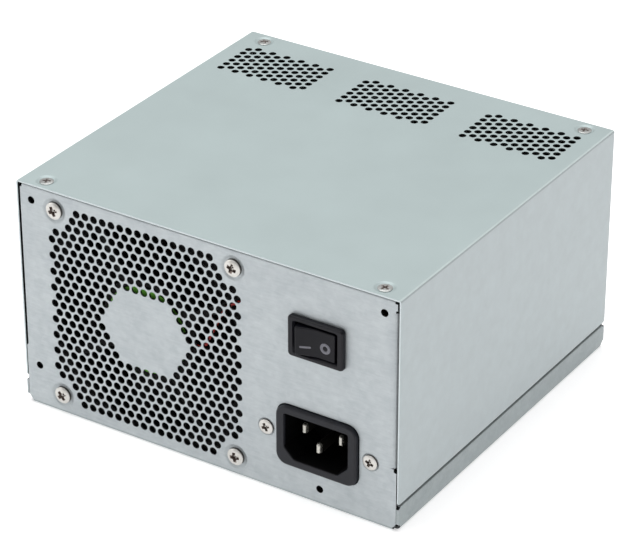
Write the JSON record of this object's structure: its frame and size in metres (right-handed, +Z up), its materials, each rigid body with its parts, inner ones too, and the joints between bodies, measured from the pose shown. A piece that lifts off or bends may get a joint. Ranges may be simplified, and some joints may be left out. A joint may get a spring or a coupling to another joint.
{
  "type": "power supply unit",
  "caption": "Desktop computer power supply in a folded steel case, with a fan grille, rocker switch and mains inlet on the rear panel and vent holes in the cover.",
  "frame": {"origin": "centre of the case's base, on its underside", "axes": "+Z up, +X right and +Y away as seen facing the rear panel, which holds the fan, switch and inlet and faces -Y"},
  "size_m": [0.15, 0.1458, 0.086],
  "materials": {
    "case_steel": "galvanised sheet, satin with a faint mottle",
    "screw_steel": "zinc plated, slightly warm",
    "fan_plastic": "moulded, matt black",
    "bearing_steel": "ground steel",
    "copper_winding": "enamelled copper wire",
    "hub_label": "plain green film label",
    "inlet_plastic": "moulded, satin black",
    "switch_plastic": "moulded, satin black",
    "rocker_plastic": "moulded, semi-gloss black",
    "contact_brass": "nickel plated brass",
    "grommet_plastic": "moulded, matt black",
    "board_laminate": "solder mask over glass laminate",
    "insulator_film": "clear yellowish film",
    "heatsink_aluminium": "extruded, plain",
    "transformer_tape": "yellow polyester tape",
    "capacitor_sleeve": "shrink sleeve",
    "film_capacitor": "moulded yellow case",
    "epoxy": "moulded black epoxy",
    "fuse_ceramic": "glazed ceramic",
    "brown_wire": "wire insulation",
    "blue_wire": "wire insulation",
    "green_wire": "wire insulation",
    "red_wire": "wire insulation"
  },
  "bodies": {
    "case": {"board_screw_1": "screw_steel", "board_screw_2": "screw_steel", "board_screw_3": "screw_steel", "board_screw_4": "screw_steel", "bridge_rectifier": "epoxy", "bulk_capacitor": "capacitor_sleeve", "cable_grommet": "grommet_plastic", "control_board": "board_laminate", "cover": "case_steel", "cover_screw_1": "screw_steel", "cover_screw_2": "screw_steel", "cover_screw_3": "screw_steel", "cover_screw_4": "screw_steel", "earth_lead": "green_wire", "earth_screw": "screw_steel", "fan_frame": "fan_plastic", "fan_label": "hub_label", "fan_lead": "red_wire", "fan_screw_1": "screw_steel", "fan_screw_2": "screw_steel", "fan_screw_3": "screw_steel", "fan_screw_4": "screw_steel", "fan_stator": "copper_winding", "fuse": "fuse_ceramic", "inlet_housing": "inlet_plastic", "inlet_pin_earth": "contact_brass", "inlet_pin_live": "contact_brass", "inlet_pin_neutral": "contact_brass", "inlet_screw_1": "screw_steel", "inlet_screw_2": "screw_steel", "insulator_sheet": "insulator_film", "line_filter_capacitor": "film_capacitor", "line_filter_choke": "copper_winding", "live_lead": "brown_wire", "main_board": "board_laminate", "main_transformer": "transformer_tape", "neutral_lead": "blue_wire", "output_capacitor_1": "capacitor_sleeve", "output_capacitor_2": "capacitor_sleeve", "output_capacitor_3": "capacitor_sleeve", "output_choke": "copper_winding", "output_rectifier": "epoxy", "pfc_choke": "copper_winding", "primary_heatsink": "heatsink_aluminium", "primary_transistor_1": "epoxy", "primary_transistor_2": "epoxy", "secondary_heatsink": "heatsink_aluminium", "standby_transformer": "transformer_tape", "switch_housing": "switch_plastic", "switch_terminal_1": "contact_brass", "switch_terminal_2": "contact_brass", "switched_lead": "brown_wire", "tray": "case_steel"},
    "fan": {"fan_rotor": "fan_plastic", "fan_shaft": "bearing_steel"},
    "rocker": {"switch_rocker": "rocker_plastic"}
  },
  "joints": [
    {"name": "fan_spin", "type": "hinge", "parent": "case", "child": "fan", "pos_m": [-0.02375, -0.0562, 0.043], "axis": [0, 1, 0], "continuous": true},
    {"name": "switch_rocker", "type": "hinge", "parent": "case", "child": "rocker", "pos_m": [0.0444, -0.0696, 0.062], "axis": [0, 0, -1], "range_deg": [0, 16]}
  ]
}
